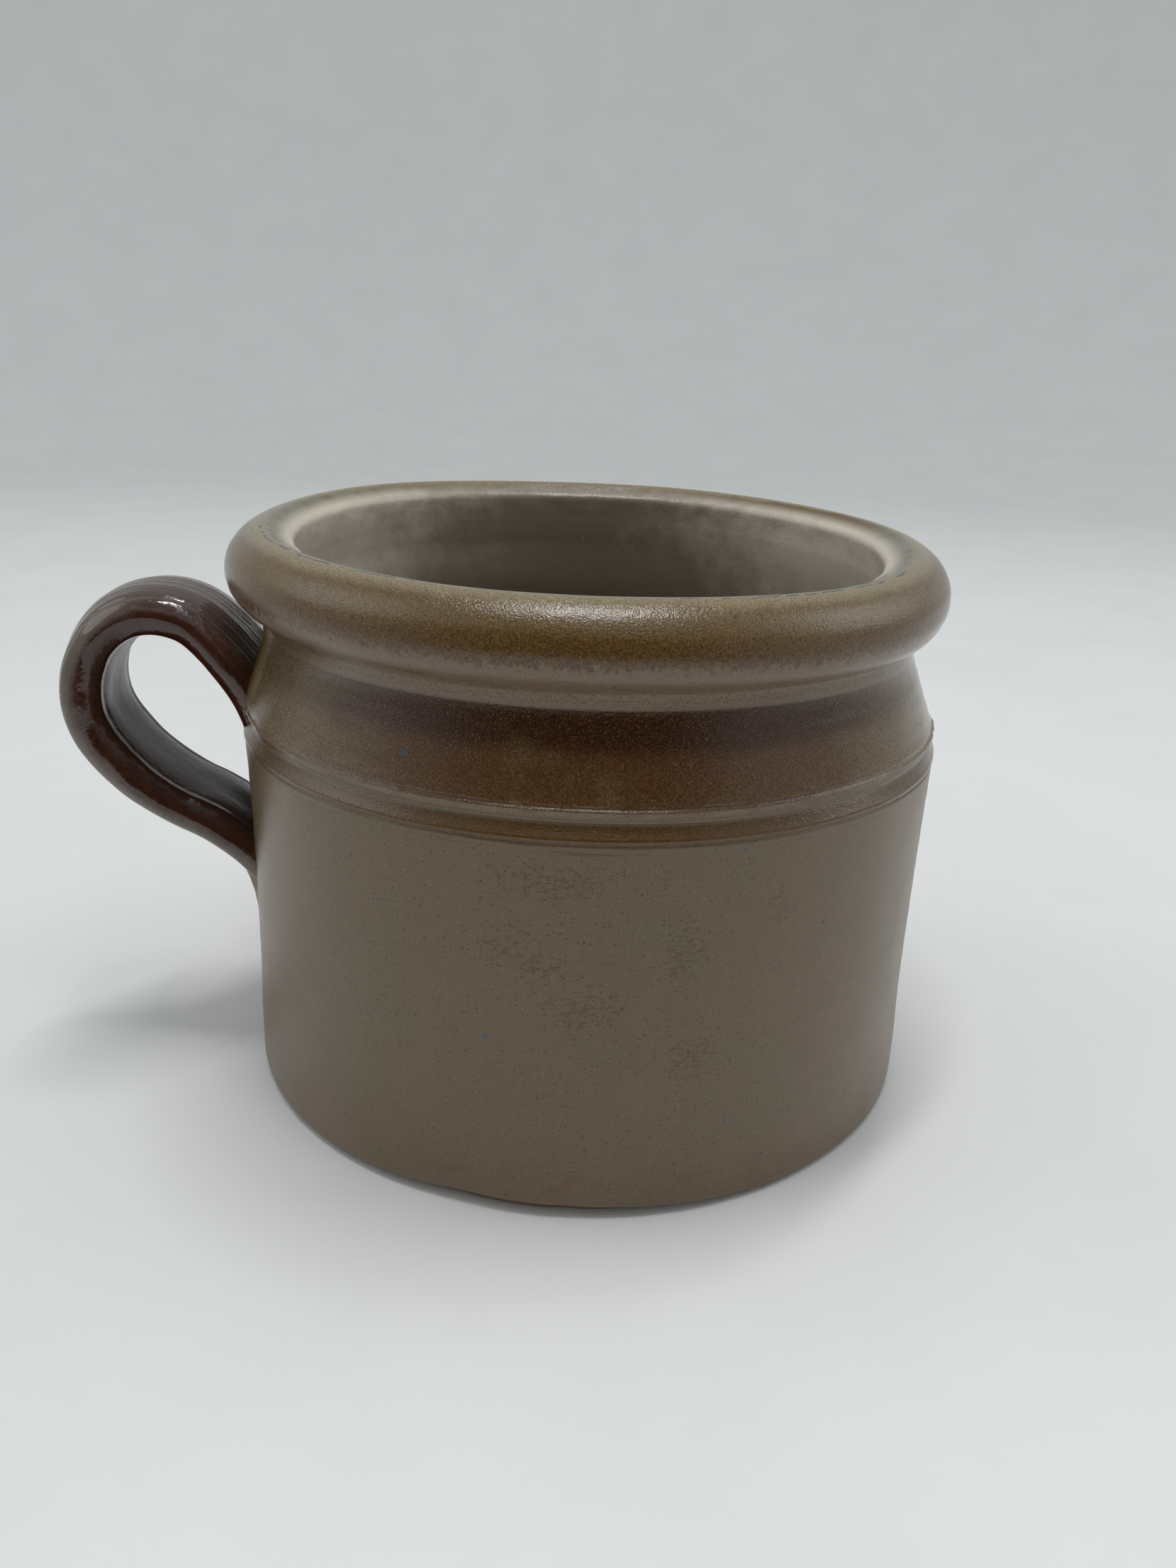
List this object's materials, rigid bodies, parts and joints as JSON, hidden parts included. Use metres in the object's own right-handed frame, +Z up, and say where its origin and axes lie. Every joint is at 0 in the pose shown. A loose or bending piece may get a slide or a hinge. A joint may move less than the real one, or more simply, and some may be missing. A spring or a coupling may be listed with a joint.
{
  "type": "shaving mug",
  "caption": "Straight-sided salt-glazed stoneware mug with a thick rolled rim, a stepped shoulder and a one-finger strap handle.",
  "frame": {"origin": "centre of the base, on the axis of the thrown body", "axes": "+Z up along the axis of the body, -X towards the handle, XZ the handle's mid-plane"},
  "size_m": [0.1442, 0.116, 0.091],
  "materials": {
    "body_glaze": "glossy salt glaze, grey-brown with fine orange-peel texture and iron specks",
    "handle_glaze": "very glossy dark chocolate-brown salt glaze over drawn grooves",
    "luting_glaze": "glossy pale grey-brown salt glaze over smeared clay"
  },
  "bodies": {
    "root": {"thrown_body": "body_glaze", "strap_handle": "handle_glaze", "upper_luting": "luting_glaze", "lower_luting": "luting_glaze"}
  },
  "joints": []
}
